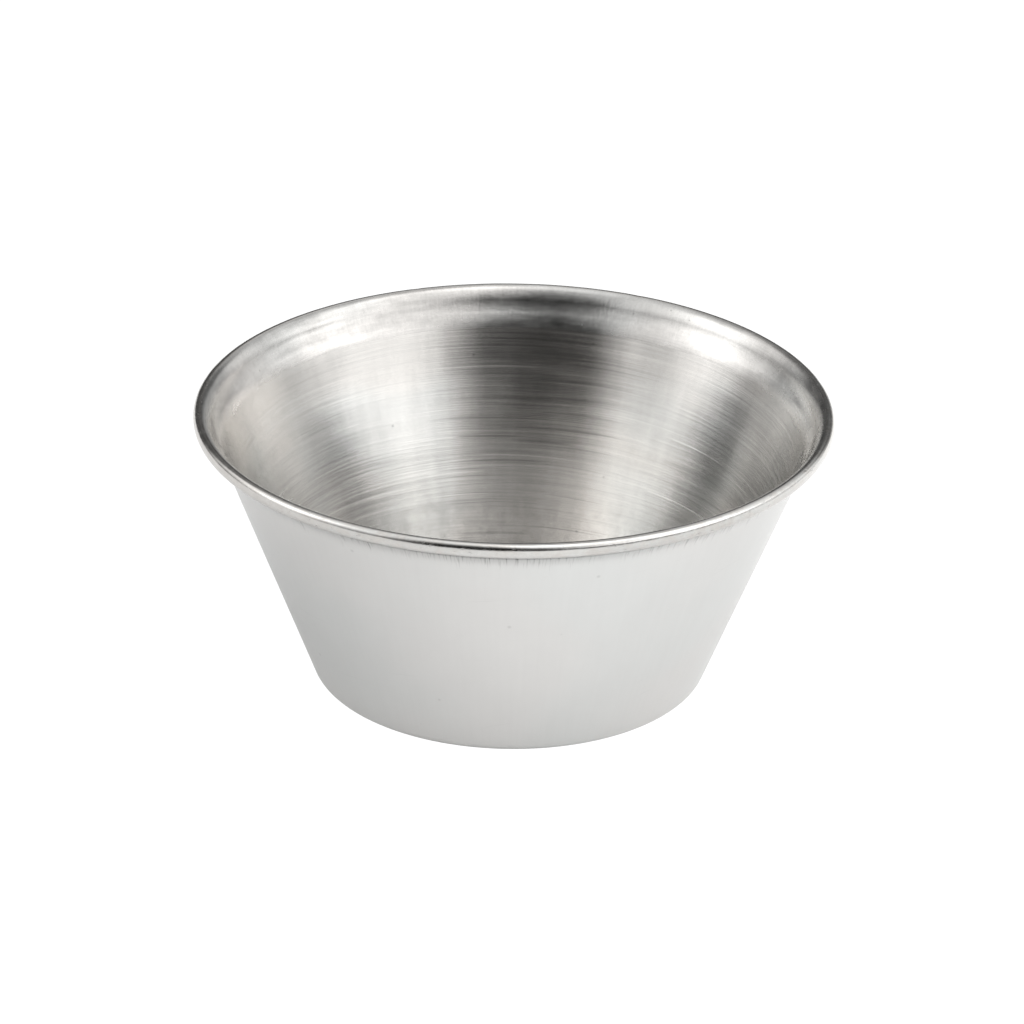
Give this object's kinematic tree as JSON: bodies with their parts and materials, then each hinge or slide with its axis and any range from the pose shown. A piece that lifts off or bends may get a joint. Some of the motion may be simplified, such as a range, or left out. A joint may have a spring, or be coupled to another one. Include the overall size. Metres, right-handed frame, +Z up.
{
  "type": "dip cup",
  "caption": "Small round stainless steel dip cup: flat base, straight leaning wall, flared lip and outward-rolled rim, open at the top, for a single portion of sauce.",
  "frame": {"origin": "centre of the underside, on the table", "axes": "+Z up along the cup's axis; it is round, so +X and +Y are alike, and -Y is the side that the picture was taken from"},
  "size_m": [0.06, 0.06, 0.0268],
  "materials": {
    "satin_base": "satin",
    "brushed_wall": "brushed round the axis inside, satin outside",
    "lip_steel": "satin with a fine drawn grain",
    "rim_steel": "polished satin"
  },
  "bodies": {
    "root": {"base_disc": "satin_base", "heel_bend": "satin_base", "side_wall": "brushed_wall", "lip_flare": "lip_steel", "rolled_rim": "rim_steel"}
  },
  "joints": []
}
